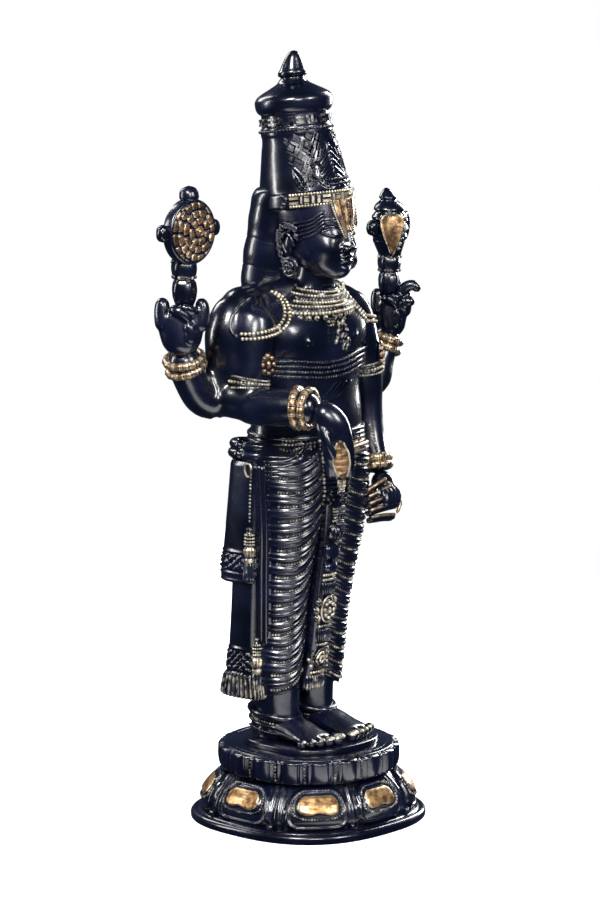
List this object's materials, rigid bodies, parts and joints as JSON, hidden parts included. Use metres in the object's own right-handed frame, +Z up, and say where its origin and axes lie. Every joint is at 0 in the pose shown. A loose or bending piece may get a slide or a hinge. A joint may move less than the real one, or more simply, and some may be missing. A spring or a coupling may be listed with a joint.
{
  "type": "cast brass deity statue",
  "caption": "standing many-armed deity figure in dark patinated cast brass, with tall crown, discus and conch, pleated cloth and jewels, on a round lotus plinth",
  "frame": {"origin": "centre of the plinth's underside, on the surface it stands on", "axes": "+Z is up, -Y is the way the figure faces, -X is the figure's right hand side"},
  "size_m": [0.2399, 0.14, 0.4948],
  "materials": {
    "figure_brass": "blue-black patina over cast brass, glossy, rubbed to gold on raised ornament",
    "plinth_brass": "blue-black patina over cast brass, glossy, petal panels rubbed to gold"
  },
  "bodies": {
    "root": {"figure": "figure_brass", "lotus_plinth": "plinth_brass"}
  },
  "joints": []
}
